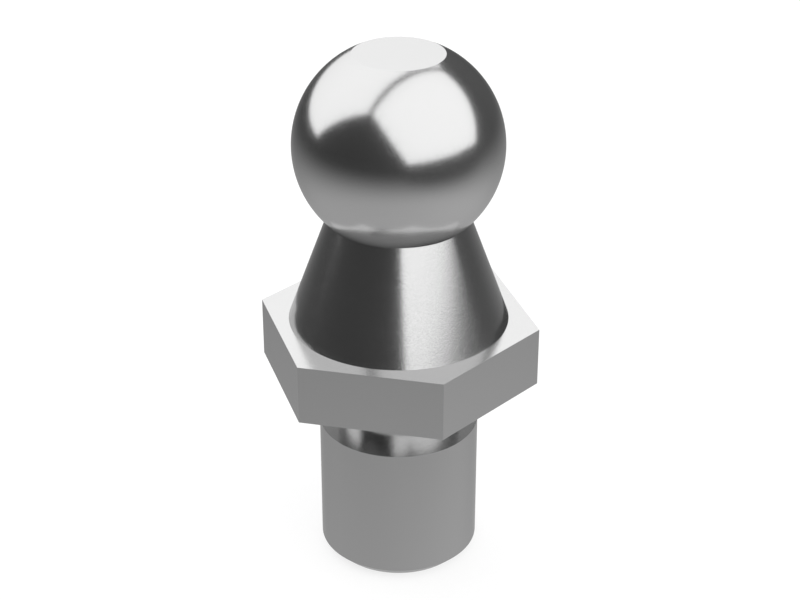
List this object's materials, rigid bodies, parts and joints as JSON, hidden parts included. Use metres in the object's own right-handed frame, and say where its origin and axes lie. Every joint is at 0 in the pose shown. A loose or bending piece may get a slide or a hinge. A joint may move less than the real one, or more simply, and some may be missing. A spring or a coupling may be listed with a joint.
{
  "type": "ball stud",
  "caption": "Steel ball stud: a ball with a flat on its pole, a conical neck, a hexagon flange and a short shank with a relief groove, for a ball socket joint.",
  "frame": {"origin": "on the axis, in the seat, which is the underside of the hexagon", "axes": "+Z along the axis from the seat to the ball, +X through a corner of the hexagon, +Y square to one of its flats"},
  "size_m": [0.0138, 0.012, 0.0265],
  "materials": {
    "steel": "satin turned steel with fine turning marks, ball burnished smooth"
  },
  "bodies": {
    "root": {"ball_stud": "steel"}
  },
  "joints": []
}
